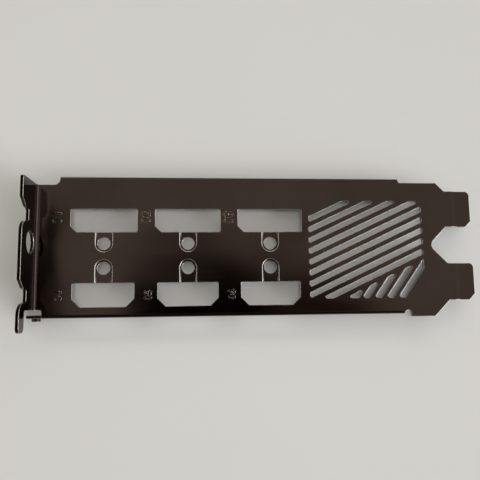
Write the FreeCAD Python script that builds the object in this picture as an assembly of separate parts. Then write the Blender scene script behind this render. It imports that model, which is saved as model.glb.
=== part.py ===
"""Two-slot expansion card bracket, folded and stamped from one steel sheet.

While it is built, X runs from the outer face of the screw flange to the tongue tips, Y runs across the
plate from the middle between the two slots, and Z runs up from the inner face of the plate. The flange is
folded up, the two long edges are folded down into lips, and the finished sheet stands on the lips' feet.
"""
import FreeCAD, Part
import math
import os

V = FreeCAD.Vector

# Sheet
SHEET = 0.86
FLANGE_BEND_R = 0.9
LIP_BEND_R = 0.1

# Overall layout
LENGTH = 120.02
SLOT_PITCH = 20.32
CHANNEL_WIDTH = 37.6
LIP_DEPTH = 6.0
UPPER_LIP_START_X = 6.65
UPPER_LIP_END_X = 99.3
LOWER_LIP_END_X = 99.7
LIP_CORNER_R = 1.0

# Plate beyond the ends of the lips
NARROW_EDGE_Y = 16.55
NARROW_FILLET = 1.6
TOP_SHOULDER_Y = 17.6
TOP_FILLET = 0.6
BOTTOM_SHOULDER_Y = -19.6
SHOULDER_R = 0.4
RELIEF_WIDTH = 1.68
RELIEF_TOP_Y = -17.78

# Tongues, which step down a little past their roots
TONGUE_ROOT_X = 112.5
TONGUE_WIDTH = 10.16
TONGUE_CORNER_R = 1.3
TONGUE_CHAMFER = 1.6
VEE_R = 1.8
JOGGLE_X = 114.3
JOGGLE_RUN = 1.5
JOGGLE_DROP = 0.4
JOGGLE_R = 1.2

# Lower lip: shallow between two fixing lugs with tapped holes, the left one in a boss
MID_LIP_DEPTH = 2.3
LUG_LEFT_X = -1.3
LUG_LENGTH = 6.6
LUG_HOLE_INSET = 1.85
LUG_HOLE_RISE = 2.3
LUG_HOLE_R = 0.8
LUG_BOSS_R = 1.15
LUG_BOSS_HEIGHT = 0.85

# Relief cut in the corner between the flange and the lower lip
CORNER_RELIEF_X = 2.75
CORNER_RELIEF_Y = -16.6
CORNER_RELIEF_R = 0.8

# Screw flange with one open notch for each slot and an ear past the plate's edge
FLANGE_DEPTH = 11.43
FLANGE_CORNER_R = 0.8
NOTCH_OFFSET = 2.88
NOTCH_DEPTH = 5.1
NOTCH_FLOOR = 2.85
NOTCH_FLOOR_R = 0.5
NOTCH_THROAT = 0.45
NOTCH_SLANT_RUN = 2.0
NOTCH_SLANT_DROP = 2.7
NOTCH_LEAN = 0.95
NOTCH_LEAD_R = 3.0
EAR_END_Y = -22.0
EAR_HEIGHT = 3.9
EAR_END_R = 1.4
FLANGE_HOLE_R = 3.0
FLANGE_HOLE_Y = 0.55
FLANGE_HOLE_Z = 5.5

# Port openings, one upper and one lower in each column
PORT_COLUMNS = 3
PORT_PITCH = 22.19
PORT_FIRST_X = 18.42
PORT_CORNER_R = 0.4
UPPER_PORT_WIDTH = 17.45
UPPER_PORT_HEIGHT = 6.15
UPPER_PORT_Y = 6.88
UPPER_PORT_CHAMFER = 1.55
LOWER_PORT_WIDTH = 16.0
LOWER_PORT_HEIGHT = 6.22
LOWER_PORT_Y = -12.87
LOWER_PORT_CHAMFER = 2.1

# Connector screw holes, each in a pressed seat that runs out into its port
SCREW_R = 1.65
UPPER_SCREW_Y = 0.73
LOWER_SCREW_Y = -5.82
SEAT_R = 2.25
SEAT_DEPTH = 0.35
SEAT_SLOPE = 0.3

# Vent of two families of slanted slots inside one rectangular field
VENT_LEFT_X = 73.5
VENT_RIGHT_X = 105.5
VENT_BOTTOM_Y = -14.35
VENT_TOP_Y = 12.3
VENT_CORNER_R = 0.5
LONG_SLOTS = 9
LONG_ANGLE = 24.8
LONG_PITCH = 2.69
LONG_WIDTH = 1.3
LONG_FIRST_Y = 7.19
SHORT_SLOTS = 5
SHORT_ANGLE = 54.2
SHORT_PITCH = 2.735
SHORT_WIDTH = 1.5
SHORT_LAST_X = 98.93
SHORT_BAR = 1.45
SHORT_FIRST_EXTRA = 0.4

# Sizes that follow from those above
FLANGE_BEND = FLANGE_BEND_R + SHEET
LIP_FACE_Y = CHANNEL_WIDTH / 2
LIP_BEND_Y = LIP_FACE_Y - LIP_BEND_R - SHEET
LIP_FOOT_Z = SHEET - LIP_DEPTH
BLANK_START_X = UPPER_LIP_START_X - NARROW_FILLET
BLANK_END_X = UPPER_LIP_END_X + 2 * TOP_FILLET
RELIEF_X = LOWER_LIP_END_X + RELIEF_WIDTH / 2
RIM_Z = SHEET + FLANGE_DEPTH
TONGUE_LOW = SLOT_PITCH / 2 - TONGUE_WIDTH / 2
TONGUE_HIGH = SLOT_PITCH / 2 + TONGUE_WIDTH / 2
CUT = LIP_DEPTH + FLANGE_DEPTH
COLUMNS = [PORT_FIRST_X + i * PORT_PITCH for i in range(PORT_COLUMNS)]

# Turns that lay an XY outline into the YZ or XZ plane, and folds along X to the other edges
NO_TURN = FreeCAD.Rotation()
TO_YZ = FreeCAD.Rotation(V(1, 1, 1), 120)
TO_XZ = FreeCAD.Rotation(V(1, 0, 0), 90)
TO_LOWER_EDGE = FreeCAD.Rotation(V(0, 0, 1), 180)
TO_FLANGE = FreeCAD.Rotation(V(1, -1, 0), 180)


def unit(vector):
    return V(vector) / vector.Length


def rounded_wire(corners):
    """Closed XY outline through corners (x, y, radius); a corner with no radius stays sharp."""
    points = [V(x, y, 0) for x, y, _ in corners]
    count = len(points)
    arcs = []
    for i, corner in enumerate(points):
        radius = corners[i][2]
        back = points[i - 1] - corner
        ahead = points[(i + 1) % count] - corner
        half = back.getAngle(ahead) / 2
        reach = min(radius / math.tan(half), 0.48 * back.Length, 0.48 * ahead.Length)
        inward = unit(unit(back) + unit(ahead))
        middle = corner + inward * reach * (1 - math.sin(half)) / math.cos(half)
        arcs.append((corner + unit(back) * reach, middle, corner + unit(ahead) * reach))
    edges = []
    for i, (start, middle, end) in enumerate(arcs):
        if corners[i][2] > 0:
            edges.append(Part.Arc(start, middle, end).toShape())
        edges.append(Part.makeLine(end, arcs[(i + 1) % count][0]))
    return Part.Wire(edges)


def placed(shape, turn, move):
    """The shape turned about the origin and then moved."""
    result = shape.copy()
    result.Placement = FreeCAD.Placement(move, turn)
    return result


def prism(corners, height, turn=NO_TURN, move=V()):
    """Solid of an outline drawn in XY, raised by height, then turned and moved."""
    face = Part.Face(rounded_wire(corners))
    return placed(face.extrude(V(0, 0, height)), turn, move)


def through(corners):
    """Cutter of an XY outline that passes the whole sheet."""
    return prism(corners, 2 * CUT, move=V(0, 0, -CUT))


def fold(inside_r, length, turn, move):
    """Quarter-round fold along X that curves from the flat at its +Z side to the flat at its +Y side."""
    outside_r = inside_r + SHEET
    outer = Part.makeCylinder(outside_r, length, V(), V(1, 0, 0))
    inner = Part.makeCylinder(inside_r, length, V(), V(1, 0, 0))
    quarter = Part.makeBox(length, outside_r, outside_r)
    return placed(outer.cut(inner).common(quarter), turn, move)


def tongue_corners(side):
    """Corners of one tongue, from its lower root round its tip to its upper root."""
    low = side * SLOT_PITCH / 2 - TONGUE_WIDTH / 2
    high = low + TONGUE_WIDTH
    return [
        (TONGUE_ROOT_X, low, SHOULDER_R),
        (LENGTH - TONGUE_CHAMFER, low, SHOULDER_R),
        (LENGTH, low + TONGUE_CHAMFER, SHOULDER_R),
        (LENGTH, high, TONGUE_CORNER_R),
        (TONGUE_ROOT_X, high, SHOULDER_R),
    ]


def plate():
    """Flat of the sheet between the folds, with the tongues: a side profile trimmed to the outline."""
    outline = [
        (FLANGE_BEND, CORNER_RELIEF_Y, 0),
        (CORNER_RELIEF_X, CORNER_RELIEF_Y, CORNER_RELIEF_R),
        (CORNER_RELIEF_X, -LIP_BEND_Y, 0),
        (RELIEF_X, -LIP_BEND_Y, 0),
        (RELIEF_X, BOTTOM_SHOULDER_Y, 0),
        (TONGUE_ROOT_X + TONGUE_HIGH + BOTTOM_SHOULDER_Y, BOTTOM_SHOULDER_Y, SHOULDER_R),
        *tongue_corners(-1),
        (TONGUE_ROOT_X - TONGUE_LOW, 0, VEE_R),
        *tongue_corners(1),
        (TONGUE_ROOT_X + TONGUE_HIGH - TOP_SHOULDER_Y, TOP_SHOULDER_Y, SHOULDER_R),
        (BLANK_END_X, TOP_SHOULDER_Y, 0),
        (BLANK_END_X, LIP_BEND_Y, 0),
        (BLANK_START_X, LIP_BEND_Y, 0),
        (BLANK_START_X, NARROW_EDGE_Y, 0),
        (FLANGE_BEND, NARROW_EDGE_Y, 0),
    ]
    step_x = JOGGLE_X + JOGGLE_RUN
    profile = [
        (FLANGE_BEND, 0, 0),
        (JOGGLE_X, 0, JOGGLE_R),
        (step_x, -JOGGLE_DROP, JOGGLE_R + SHEET),
        (LENGTH, -JOGGLE_DROP, 0),
        (LENGTH, SHEET - JOGGLE_DROP, 0),
        (step_x, SHEET - JOGGLE_DROP, JOGGLE_R),
        (JOGGLE_X, SHEET, JOGGLE_R + SHEET),
        (FLANGE_BEND, SHEET, 0),
    ]
    sheet = prism(profile, 2 * CHANNEL_WIDTH, TO_XZ, V(0, CHANNEL_WIDTH, 0))
    return sheet.common(through(outline))


def notch_corners(slot_y):
    """Corners of one open screw notch in the flange, from its slanted side to its rounded lead."""
    middle = slot_y - NOTCH_OFFSET
    floor_z = RIM_Z - NOTCH_DEPTH
    half = NOTCH_FLOOR / 2
    throat = half + NOTCH_THROAT
    return [
        (middle + throat + NOTCH_SLANT_RUN, RIM_Z, NOTCH_FLOOR_R),
        (middle + throat, RIM_Z - NOTCH_SLANT_DROP, NOTCH_FLOOR_R),
        (middle + half, floor_z, NOTCH_FLOOR_R),
        (middle - half, floor_z, NOTCH_FLOOR_R),
        (middle - half - NOTCH_LEAN, RIM_Z, NOTCH_LEAD_R),
    ]


def flange():
    """Screw flange with its fold, cut to the notched outline."""
    outline = [
        (NARROW_EDGE_Y, FLANGE_BEND, 0),
        (NARROW_EDGE_Y, RIM_Z, FLANGE_CORNER_R),
        *notch_corners(SLOT_PITCH / 2),
        *notch_corners(-SLOT_PITCH / 2),
        (EAR_END_Y, RIM_Z, EAR_END_R),
        (EAR_END_Y, RIM_Z - EAR_HEIGHT, EAR_END_R),
        (CORNER_RELIEF_Y, RIM_Z - EAR_HEIGHT, CORNER_RELIEF_R),
        (CORNER_RELIEF_Y, FLANGE_BEND, 0),
    ]
    web = prism(outline, SHEET, TO_YZ)
    corner = V(FLANGE_BEND, NARROW_EDGE_Y, FLANGE_BEND)
    bend = fold(FLANGE_BEND_R, NARROW_EDGE_Y - CORNER_RELIEF_Y, TO_FLANGE, corner)
    hole = Part.makeCylinder(FLANGE_HOLE_R, 2 * CUT, V(-CUT, FLANGE_HOLE_Y, FLANGE_HOLE_Z), V(1, 0, 0))
    return web.fuse(bend).cut(hole)


def upper_lip():
    """Plain lip along the edge away from the card's board."""
    outline = [
        (UPPER_LIP_START_X, -LIP_BEND_R, 0),
        (UPPER_LIP_START_X, LIP_FOOT_Z, LIP_CORNER_R),
        (UPPER_LIP_END_X, LIP_FOOT_Z, LIP_CORNER_R),
        (UPPER_LIP_END_X, -LIP_BEND_R, 0),
    ]
    web = prism(outline, SHEET, TO_XZ, V(0, LIP_FACE_Y, 0))
    corner = V(BLANK_START_X, LIP_BEND_Y, -LIP_BEND_R)
    return web.fuse(fold(LIP_BEND_R, BLANK_END_X - BLANK_START_X, NO_TURN, corner))


def lower_lip():
    """Lip along the board's edge: a shallow middle, and a deep lug with a tapped boss at each end."""
    mid_z = SHEET - MID_LIP_DEPTH
    lug_right_x = LOWER_LIP_END_X - LUG_LENGTH
    outline = [
        (LUG_LEFT_X, -LIP_BEND_R, 0),
        (LUG_LEFT_X, LIP_FOOT_Z, LIP_CORNER_R),
        (LUG_LEFT_X + LUG_LENGTH, LIP_FOOT_Z, LIP_CORNER_R),
        (LUG_LEFT_X + LUG_LENGTH, mid_z, LIP_CORNER_R),
        (lug_right_x, mid_z, LIP_CORNER_R),
        (lug_right_x, LIP_FOOT_Z, LIP_CORNER_R),
        (LOWER_LIP_END_X, LIP_FOOT_Z, LIP_CORNER_R),
        (LOWER_LIP_END_X, -LIP_BEND_R, 0),
    ]
    lip = prism(outline, SHEET, TO_XZ, V(0, SHEET - LIP_FACE_Y, 0))
    corner = V(RELIEF_X, -LIP_BEND_Y, -LIP_BEND_R)
    lip = lip.fuse(fold(LIP_BEND_R, RELIEF_X - CORNER_RELIEF_X, TO_LOWER_EDGE, corner))
    out = V(0, -1, 0)
    left_hole = V(LUG_LEFT_X + LUG_HOLE_INSET, SHEET - LIP_FACE_Y, LIP_FOOT_Z + LUG_HOLE_RISE)
    right_hole = left_hole + V(LOWER_LIP_END_X - LUG_LEFT_X - 2 * LUG_HOLE_INSET, 0, 0)
    lip = lip.fuse(Part.makeCylinder(LUG_BOSS_R, SHEET + LUG_BOSS_HEIGHT, left_hole, out))
    return lip.cut([Part.makeCylinder(LUG_HOLE_R, LIP_DEPTH, hole, out) for hole in (left_hole, right_hole)])


def lip_relief():
    """Round-ended cut that frees the right end of the lower fold and rounds the corner beside it."""
    left = LOWER_LIP_END_X
    right = LOWER_LIP_END_X + RELIEF_WIDTH
    clear = right + 2 * SHOULDER_R
    below = BOTTOM_SHOULDER_Y - SHEET
    return through([
        (left, below, 0),
        (clear, below, 0),
        (clear, BOTTOM_SHOULDER_Y, 0),
        (right, BOTTOM_SHOULDER_Y, SHOULDER_R),
        (right, RELIEF_TOP_Y, RELIEF_WIDTH / 2),
        (left, RELIEF_TOP_Y, RELIEF_WIDTH / 2),
    ])


def upper_end():
    """Cut that ends the upper lip with a round inner corner at the shoulder."""
    beyond = LIP_FACE_Y + SHEET
    clear = BLANK_END_X + TOP_FILLET
    return through([
        (UPPER_LIP_END_X, TOP_SHOULDER_Y, TOP_FILLET),
        (clear, TOP_SHOULDER_Y, 0),
        (clear, beyond, 0),
        (UPPER_LIP_END_X, beyond, 0),
    ])


def narrow_end():
    """Cut that narrows the plate before the upper lip, with a round inner corner at the fold."""
    beyond = LIP_FACE_Y + SHEET
    return through([
        (-SHEET, NARROW_EDGE_Y, 0),
        (UPPER_LIP_START_X, NARROW_EDGE_Y, NARROW_FILLET),
        (UPPER_LIP_START_X, beyond, 0),
        (-SHEET, beyond, 0),
    ])


def upper_port(x):
    """Opening with one chamfered lower corner."""
    left, right = x - UPPER_PORT_WIDTH / 2, x + UPPER_PORT_WIDTH / 2
    low, high = UPPER_PORT_Y - UPPER_PORT_HEIGHT / 2, UPPER_PORT_Y + UPPER_PORT_HEIGHT / 2
    points = [
        (left, low + UPPER_PORT_CHAMFER),
        (left + UPPER_PORT_CHAMFER, low),
        (right, low),
        (right, high),
        (left, high),
    ]
    return through([(px, py, PORT_CORNER_R) for px, py in points])


def lower_port(x):
    """Opening with both lower corners chamfered."""
    left, right = x - LOWER_PORT_WIDTH / 2, x + LOWER_PORT_WIDTH / 2
    low, high = LOWER_PORT_Y - LOWER_PORT_HEIGHT / 2, LOWER_PORT_Y + LOWER_PORT_HEIGHT / 2
    points = [
        (left, low + LOWER_PORT_CHAMFER),
        (left + LOWER_PORT_CHAMFER, low),
        (right - LOWER_PORT_CHAMFER, low),
        (right, low + LOWER_PORT_CHAMFER),
        (right, high),
        (left, high),
    ]
    return through([(px, py, PORT_CORNER_R) for px, py in points])


def seat(x, screw_y, port_y):
    """Pressed form of one screw seat: a round end at the screw and sloped sides to the port."""
    floor_r = SEAT_R - SEAT_SLOPE
    floor_z = SHEET - SEAT_DEPTH
    end = Part.makeCone(floor_r, SEAT_R, SEAT_DEPTH, V(x, screw_y, floor_z))
    section = [
        (-floor_r, floor_z, 0),
        (floor_r, floor_z, 0),
        (SEAT_R, SHEET, 0),
        (-SEAT_R, SHEET, 0),
    ]
    run = prism(section, abs(port_y - screw_y), TO_XZ, V(x, max(screw_y, port_y), 0))
    return end.fuse(run)


def clip(polygon, normal, limit):
    """The part of a convex polygon whose points have normal . point at most limit."""
    result = []
    for i, point in enumerate(polygon):
        last = polygon[i - 1]
        depth = limit - normal[0] * point[0] - normal[1] * point[1]
        last_depth = limit - normal[0] * last[0] - normal[1] * last[1]
        if depth * last_depth < 0:
            share = last_depth / (last_depth - depth)
            result.append((last[0] + share * (point[0] - last[0]), last[1] + share * (point[1] - last[1])))
        if depth >= 0:
            result.append(point)
    return result


def vent_slots():
    """Outlines of the long slots, and of the steeper short ones in the corner below the last of them."""
    field = [
        (VENT_LEFT_X, VENT_BOTTOM_Y),
        (VENT_RIGHT_X, VENT_BOTTOM_Y),
        (VENT_RIGHT_X, VENT_TOP_Y),
        (VENT_LEFT_X, VENT_TOP_Y),
    ]
    slots = []
    angle = math.radians(LONG_ANGLE)
    up = (-math.sin(angle), math.cos(angle))
    down = (-up[0], -up[1])
    first = up[0] * VENT_LEFT_X + up[1] * LONG_FIRST_Y
    for i in range(LONG_SLOTS):
        middle = first - i * LONG_PITCH
        strip = clip(field, up, middle + LONG_WIDTH / 2)
        slots.append(clip(strip, down, LONG_WIDTH / 2 - middle))
    last = first - (LONG_SLOTS - 1) * LONG_PITCH
    corner = clip(field, up, last - LONG_WIDTH / 2 - SHORT_BAR)
    angle = math.radians(SHORT_ANGLE)
    right = (math.sin(angle), -math.cos(angle))
    left = (-right[0], -right[1])
    last = right[0] * SHORT_LAST_X + right[1] * VENT_BOTTOM_Y
    for i in range(SHORT_SLOTS - 1):
        middle = last - i * SHORT_PITCH
        strip = clip(corner, right, middle + SHORT_WIDTH / 2)
        slots.append(clip(strip, left, SHORT_WIDTH / 2 - middle))
    first = last - (SHORT_SLOTS - 1) * SHORT_PITCH
    slots.append(clip(corner, right, first + SHORT_WIDTH / 2 + SHORT_FIRST_EXTRA))
    return [[(x, y, VENT_CORNER_R) for x, y in slot] for slot in slots]


def punch(sheet):
    """Cuts the ports, the vent and the trims at the ends of the lips."""
    cuts = [narrow_end(), upper_end(), lip_relief()]
    cuts += [through(slot) for slot in vent_slots()]
    for x in COLUMNS:
        cuts += [upper_port(x), lower_port(x)]
    return sheet.cut(cuts)


def press_seats(sheet):
    """Presses a seat for each connector screw and pierces it."""
    seats = []
    holes = []
    for x in COLUMNS:
        seats += [seat(x, UPPER_SCREW_Y, UPPER_PORT_Y), seat(x, LOWER_SCREW_Y, LOWER_PORT_Y)]
        holes += [Part.makeCylinder(SCREW_R, 2 * CUT, V(x, y, -CUT)) for y in (UPPER_SCREW_Y, LOWER_SCREW_Y)]
    pads = [placed(form, NO_TURN, V(0, 0, -SHEET)) for form in seats]
    ports = [port(x) for x in COLUMNS for port in (upper_port, lower_port)]
    return sheet.fuse(pads).cut(seats + holes + ports)


def bracket_sheet():
    """The whole sheet, standing on its lips with the middle of its footprint over the origin."""
    sheet = plate().fuse([flange(), upper_lip(), lower_lip()])
    sheet = press_seats(punch(sheet)).removeSplitter()
    return sheet.translated(V(-(LUG_LEFT_X + LENGTH) / 2, -(EAR_END_Y + LIP_FACE_Y) / 2, -LIP_FOOT_Z))


os.makedirs("parts", exist_ok=True)
bracket_sheet().exportStep("parts/bracket_sheet.step")
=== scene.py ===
"""The looks of a graphics card bracket: a folded sheet in glossy black nickel plate on a pale desk."""

import math

import bpy
from mathutils import Euler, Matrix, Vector


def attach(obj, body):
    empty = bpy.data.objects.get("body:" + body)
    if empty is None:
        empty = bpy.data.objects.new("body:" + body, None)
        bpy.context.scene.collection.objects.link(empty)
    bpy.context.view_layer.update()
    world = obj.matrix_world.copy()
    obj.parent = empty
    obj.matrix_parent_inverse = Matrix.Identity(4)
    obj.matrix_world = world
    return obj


MM = 0.001

# The sheet's edges, rounded a little by tumbling before plating
EDGE_ROUND = 0.09 * MM
EDGE_STEPS = 2
EDGE_ANGLE = math.radians(30)
FLAT_ANGLE = math.radians(0.5)
WELD_GAP = 0.001 * MM

# Black nickel plating on the faces; on the edges, as far as they stand proud, a pale tint for wear and as
# a painted highlight, and in hollows the darkest face tint as painted shade
FACE_TINTS = [(0.037, 0.026, 0.021, 1), (0.054, 0.04, 0.035, 1)]
FACE_ROUGH = (0.05, 0.11)
FACE_GRAIN = 0.06
# Pale edge tints: wear, and a painted highlight standing for the lamps' glints on the rounded edges
EDGE_WEAR_AND_HIGHLIGHT_TINTS = [(0.45, 0.41, 0.37, 1), (0.8, 0.76, 0.71, 1)]
EDGE_ROUGH = (0.18, 0.3)
EDGE_GRAIN = 0.01
PROUD = (0.49, 0.52)

# Patterns in the plating: drifting tint and gloss, slow waves of the rolled sheet, and its fine grain
NOISE_DETAIL = 3
TINT_SCALE = 60
GLOSS_SCALE = 350
WAVE_SCALE = 80
WAVE_STRETCH = (0.6, 1, 1)
WAVE_DETAIL = 0
WAVE_STRENGTH = 1
WAVE_DEPTH = 0.4 * MM
GRAIN_SCALE = 900
GRAIN_STRETCH = (0.08, 1, 1)
GRAIN_DEPTH = 0.02 * MM

# Places of the two platings in a piece's list of materials
FACE_PLACE = 0
EDGE_PLACE = 1

# Port numbers stamped beside the ports, reading up the plate's outer face
PLATE_TOP = 6.0 * MM
NUMBER_CAP = 0.7
NUMBER_RISE = 0.02 * MM
NUMBER_ROUND = 0.055 * MM
NUMBER_FLAT = 0.95
NUMBER_TURN = math.radians(90)
NUMBER_COLUMNS = [-53.2 * MM, -30.0 * MM, -7.8 * MM]
UPPER_NUMBER = {"y": 9.4 * MM, "height": 2.6 * MM, "shift": 0}
LOWER_NUMBER = {"y": -11.4 * MM, "height": 1.9 * MM, "shift": 0.8 * MM}

# The camera, fitted to the photograph's view
CAMERA_PLACE = (-16.75 * MM, -14.155 * MM, 148.38 * MM)
CAMERA_TURN = (6.962, -4.717, -0.741)
LENS = 39.908
SENSOR = 36.0
NEAREST = 1 * MM

# The desk's pale laminate
DESK_HALF = 0.9
DESK_COLORS = [(0.74, 0.732, 0.715, 1), (0.77, 0.762, 0.745, 1)]
DESK_SPECULAR = 0.1
DESK_ROUGH = (0.5, 0.65)
MOTTLE_SCALE = 12
DESK_GLOSS_SCALE = 60
PEEL_SCALE = 700
PEEL_STRENGTH = 0.1
PEEL_DEPTH = 0.1 * MM

# Soft lights round the bracket, one of them for the plating alone and one for the desk alone
WARM_WHITE = (1, 0.98, 0.95)
LIGHTS = [
    {
        "name": "window",
        "direction": (0.82, -0.42, 0.5),
        "distance": 3.0,
        "size": (1.8, 1.4),
        "power": 38,
        "color": (0.95, 0.98, 1),
    },
    {
        "name": "band",
        "direction": (0.97, -0.08, 0.225),
        "distance": 3.0,
        "size": (3.2, 0.84),
        "power": 34,
        "color": (0.86, 0.94, 1),
    },
    {
        "name": "wall",
        "direction": (0.12, 0.8, 0.62),
        "distance": 3.0,
        "size": (2.4, 0.6),
        "power": 12,
        "color": WARM_WHITE,
    },
    {
        "name": "side",
        "direction": (-0.75, 0.1, 0.6),
        "distance": 3.0,
        "size": (1.2, 0.8),
        "power": 6.4,
        "color": WARM_WHITE,
        "on_desk": False,
    },
    {
        "name": "overhead",
        "direction": (-0.056, -0.047, 1),
        "distance": 0.3,
        "size": (0.05, 0.05),
        "power": 0.13,
        "color": WARM_WHITE,
        "in_plating": False,
    },
]

# The room as shades over a wall colour, each full up to its first reach and gone at its second
WALL_COLOR = (0.32, 0.308, 0.29, 1)
SHADES = [
    {
        "name": "ceiling",
        "color": (0.89, 0.86, 0.81, 1),
        "middle": (0, 0, 1),
        "stretch": (0, 0, 1),
        "reach": (0.1, 0.4),
    },
    {
        "name": "front",
        "color": (0.09, 0.083, 0.075, 1),
        "middle": (0, -1, 0),
        "stretch": (1.5, 1, 0),
        "reach": (0.55, 1.0),
    },
    {
        "name": "left",
        "color": (0.1, 0.08, 0.06, 1),
        "middle": (-1, 0, 0),
        "stretch": (1, 0, 0),
        "reach": (0.745, 0.76),
    },
    {
        "name": "left wall",
        "color": (0.31, 0.29, 0.265, 1),
        "middle": (-1, 0, 0),
        "stretch": (1, 0.5, 1),
        "reach": (0.75, 1.05),
    },
    {
        "name": "right",
        "color": (0.95, 0.92, 0.87, 1),
        "middle": (0.84, 0.1, 0.53),
        "stretch": (1, 1, 1),
        "reach": (0.2, 0.4),
    },
    {
        "name": "dim card",
        "color": (0.17, 0.122, 0.1, 1),
        "middle": (0.12, -0.08, 1),
        "stretch": (0.8, 1, 1),
        "reach": (0.1, 0.23),
    },
    {
        "name": "dark card",
        "color": (0.02, 0.01, 0.006, 1),
        "middle": (-0.01, -0.05, 1),
        "stretch": (1.2, 1, 1),
        "reach": (0.1, 0.2),
    },
]


def feed(tree, source, target):
    """Sets an input socket to a value, or joins it to another node's output."""
    if isinstance(source, bpy.types.NodeSocket):
        tree.links.new(source, target)
    else:
        target.default_value = source


def add(tree, kind, **inputs):
    """A node of a kind, with the named inputs fed."""
    node = tree.nodes.new(kind)
    for name, source in inputs.items():
        feed(tree, source, node.inputs[name.replace("_", " ")])
    return node


def ramp(tree, source, low, high):
    """Spreads a 0 to 1 value from a low to a high value or colour."""
    node = tree.nodes.new("ShaderNodeMix")
    node.data_type = "RGBA" if isinstance(low, tuple) else "FLOAT"
    feed(tree, source, node.inputs["Factor"])
    feed(tree, low, node.inputs["A"])
    feed(tree, high, node.inputs["B"])
    return node.outputs["Result"]


def between(tree, source, low, high):
    """0 below one value, 1 above another, and soft between."""
    node = add(tree, "ShaderNodeMapRange", Value=source, From_Min=low, From_Max=high)
    node.interpolation_type = "SMOOTHSTEP"
    return node.outputs["Result"]


def noise(tree, scale, stretch=(1, 1, 1), detail=NOISE_DETAIL):
    """A noise over the object's own metres, stretched along the axes."""
    place = add(tree, "ShaderNodeTexCoord").outputs["Object"]
    spread = add(tree, "ShaderNodeMapping", Vector=place, Scale=stretch).outputs["Vector"]
    return add(tree, "ShaderNodeTexNoise", Vector=spread, Scale=scale, Detail=detail).outputs["Fac"]


def bump(tree, shader, height, strength, distance):
    """Presses a height pattern into a shader's surface, over any pressed there before."""
    node = add(tree, "ShaderNodeBump", Height=height, Strength=strength, Distance=distance)
    for before in shader.inputs["Normal"].links:
        feed(tree, before.from_socket, node.inputs["Normal"])
    feed(tree, node.outputs["Normal"], shader.inputs["Normal"])


def new_material(name):
    """An empty node material, its tree and its main shader."""
    material = bpy.data.materials.new(name)
    material.use_nodes = True
    tree = material.node_tree
    return material, tree, tree.nodes["Principled BSDF"]


def where_proud(tree, tint, hollow_shade_tint):
    """A tint where the surface stands proud, and a darker one in hollows: hollows don't wear, and the
    darker tint there is painted shade.
    """
    shape = add(tree, "ShaderNodeNewGeometry").outputs["Pointiness"]
    return ramp(tree, between(tree, shape, *PROUD), hollow_shade_tint, tint)


def plating(name, tints, rough, grain):
    """Black nickel over rolled steel: a tint that drifts, slow waves, and a fine grain along the sheet."""
    material, tree, shader = new_material(name)
    tint = ramp(tree, noise(tree, TINT_SCALE), *tints)
    waves = noise(tree, WAVE_SCALE, WAVE_STRETCH, WAVE_DETAIL)
    shader.inputs["Metallic"].default_value = 1.0
    # The tint where proud; in hollows the darkest face tint, as painted shade
    feed(tree, where_proud(tree, tint, FACE_TINTS[0]), shader.inputs["Base Color"])
    feed(tree, ramp(tree, noise(tree, GLOSS_SCALE), *rough), shader.inputs["Roughness"])
    bump(tree, shader, waves, WAVE_STRENGTH, WAVE_DEPTH)
    bump(tree, shader, noise(tree, GRAIN_SCALE, GRAIN_STRETCH), grain, GRAIN_DEPTH)
    return material


def laminate():
    """Pale laminate with a faint mottle and a fine orange-peel surface."""
    material, tree, shader = new_material("desk")
    shader.inputs["Specular IOR Level"].default_value = DESK_SPECULAR
    feed(tree, ramp(tree, noise(tree, MOTTLE_SCALE), *DESK_COLORS), shader.inputs["Base Color"])
    feed(tree, ramp(tree, noise(tree, DESK_GLOSS_SCALE), *DESK_ROUGH), shader.inputs["Roughness"])
    bump(tree, shader, noise(tree, PEEL_SCALE), PEEL_STRENGTH, PEEL_DEPTH)
    return material


def new_object(name, data):
    """An object of the scene that shows some data."""
    thing = bpy.data.objects.new(name, data)
    bpy.context.scene.collection.objects.link(thing)
    return thing


def dress_sheet(sheet, platings):
    """Rounds the sheet's cut edges and gives the faces and edges their plating, the edges' pale for wear
    and as a painted highlight.
    """
    mesh = sheet.data
    mesh.materials.clear()
    for material in platings:
        mesh.materials.append(material)
    mesh.attributes.remove(mesh.attributes["custom_normal"])
    weld = sheet.modifiers.new("weld", "WELD")
    weld.merge_threshold = WELD_GAP
    flat = sheet.modifiers.new("flat_faces", "DECIMATE")
    flat.decimate_type = "DISSOLVE"
    flat.angle_limit = FLAT_ANGLE
    rounded = sheet.modifiers.new("rounded_edges", "BEVEL")
    rounded.width = EDGE_ROUND
    rounded.segments = EDGE_STEPS
    rounded.limit_method = "ANGLE"
    rounded.angle_limit = EDGE_ANGLE
    rounded.use_clamp_overlap = False
    rounded.material = EDGE_PLACE
    rounded.harden_normals = True
    mesh.shade_smooth()


def number_mesh(text, height):
    """The raised digits of a number, lying flat round their own middle."""
    curve = bpy.data.curves.new("number_" + text, "FONT")
    curve.body = text
    curve.size = height / NUMBER_CAP
    curve.extrude = NUMBER_RISE
    curve.bevel_depth = NUMBER_ROUND
    curve.align_x = "CENTER"
    curve.align_y = "CENTER"
    lettering = bpy.data.objects.new("number_curve_" + text, curve)
    mesh = bpy.data.meshes.new_from_object(lettering)
    bpy.data.objects.remove(lettering)
    return mesh


def stamped_number(text, column, platings, y, height, shift):
    """A number pressed proud of the plate beside its port."""
    mesh = number_mesh(text, height)
    for material in platings:
        mesh.materials.append(material)
    # The digits' sloped sides take the pale edge plating, for wear and as a painted highlight; their tops
    # take the face plating
    for polygon in mesh.polygons:
        polygon.material_index = EDGE_PLACE if polygon.normal.z < NUMBER_FLAT else FACE_PLACE
    piece = new_object("number_" + text, mesh)
    piece.location = (column + shift, y, PLATE_TOP)
    piece.rotation_euler = (0, 0, NUMBER_TURN)
    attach(piece, "root")


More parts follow.
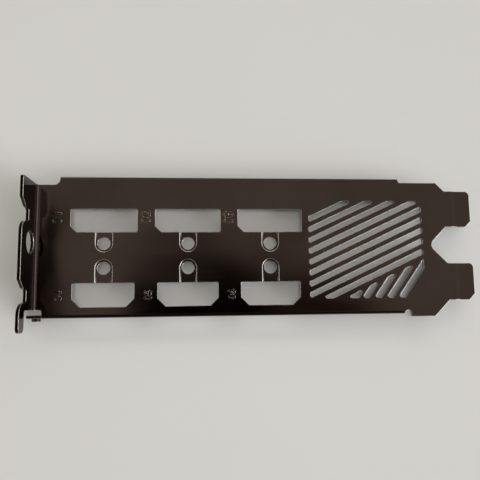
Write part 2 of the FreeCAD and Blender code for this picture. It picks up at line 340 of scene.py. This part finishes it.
def desk():
    """The pale desk top that the bracket lies on."""
    mesh = bpy.data.meshes.new("desk")
    corners = [(-1, -1), (1, -1), (1, 1), (-1, 1)]
    mesh.from_pydata([(x * DESK_HALF, y * DESK_HALF, 0) for x, y in corners], [], [(0, 1, 2, 3)])
    mesh.materials.append(laminate())
    top = new_object("desk", mesh)


def panel(name, direction, distance, size, power, color, on_desk=True, in_plating=True):
    """A soft light in a direction from the bracket, facing it, for the desk, the plating or both."""
    light = bpy.data.lights.new(name, "AREA")
    light.shape = "RECTANGLE"
    light.size, light.size_y = size
    light.energy = power
    light.color = color
    holder = new_object(name, light)
    toward = Vector(direction).normalized()
    holder.location = toward * distance
    holder.rotation_euler = toward.to_track_quat("Z", "Y").to_euler()
    holder.visible_diffuse = on_desk
    holder.visible_glossy = in_plating


def away_from(tree, place, middle, stretch):
    """How far a direction lies from another, in stretched space."""
    spread = add(tree, "ShaderNodeMapping", Vector=place, Scale=stretch)
    node = tree.nodes.new("ShaderNodeVectorMath")
    node.operation = "DISTANCE"
    feed(tree, spread.outputs["Vector"], node.inputs[0])
    feed(tree, Vector(middle).normalized(), node.inputs[1])
    return node.outputs["Value"]


def room():
    """The room that lights the desk and that the plating mirrors: walls, ceiling and dark places."""
    world = bpy.data.worlds.new("room")
    bpy.context.scene.world = world
    world.use_nodes = True
    tree = world.node_tree
    place = add(tree, "ShaderNodeTexCoord").outputs["Generated"]
    color = WALL_COLOR
    for shade in SHADES:
        away = away_from(tree, place, shade["middle"], shade["stretch"])
        color = ramp(tree, between(tree, away, *shade["reach"]), shade["color"], color)
        color.node.label = shade["name"]
    feed(tree, color, tree.nodes["Background"].inputs["Color"])


def camera():
    """The camera above the bracket, looking nearly straight down."""
    lens = bpy.data.cameras.new("camera")
    lens.sensor_width = SENSOR
    lens.lens = LENS
    lens.clip_start = NEAREST
    eye = new_object("camera", lens)
    eye.location = CAMERA_PLACE
    eye.rotation_euler = Euler([math.radians(a) for a in CAMERA_TURN], "XYZ")
    bpy.context.scene.camera = eye


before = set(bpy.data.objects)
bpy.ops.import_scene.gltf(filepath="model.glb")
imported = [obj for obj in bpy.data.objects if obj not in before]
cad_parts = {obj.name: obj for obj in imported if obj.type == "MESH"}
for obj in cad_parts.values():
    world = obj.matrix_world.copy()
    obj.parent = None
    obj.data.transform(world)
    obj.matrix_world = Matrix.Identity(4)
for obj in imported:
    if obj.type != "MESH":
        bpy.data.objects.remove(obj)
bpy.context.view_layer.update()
bpy.context.scene.view_settings.view_transform = "Standard"

platings = [
    plating("plated_steel", FACE_TINTS, FACE_ROUGH, FACE_GRAIN),
    # The edges' plating: pale for wear and as a painted highlight
    plating("worn_and_highlit_edges", EDGE_WEAR_AND_HIGHLIGHT_TINTS, EDGE_ROUGH, EDGE_GRAIN),
]
dress_sheet(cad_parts["bracket_sheet"], platings)
for count, column in enumerate(NUMBER_COLUMNS, start=1):
    lower_count = count + len(NUMBER_COLUMNS)
    stamped_number(f"{count:02d}", column, platings, **UPPER_NUMBER)
    stamped_number(f"{lower_count:02d}", column, platings, **LOWER_NUMBER)
desk()
for light in LIGHTS:
    panel(**light)
room()
camera()
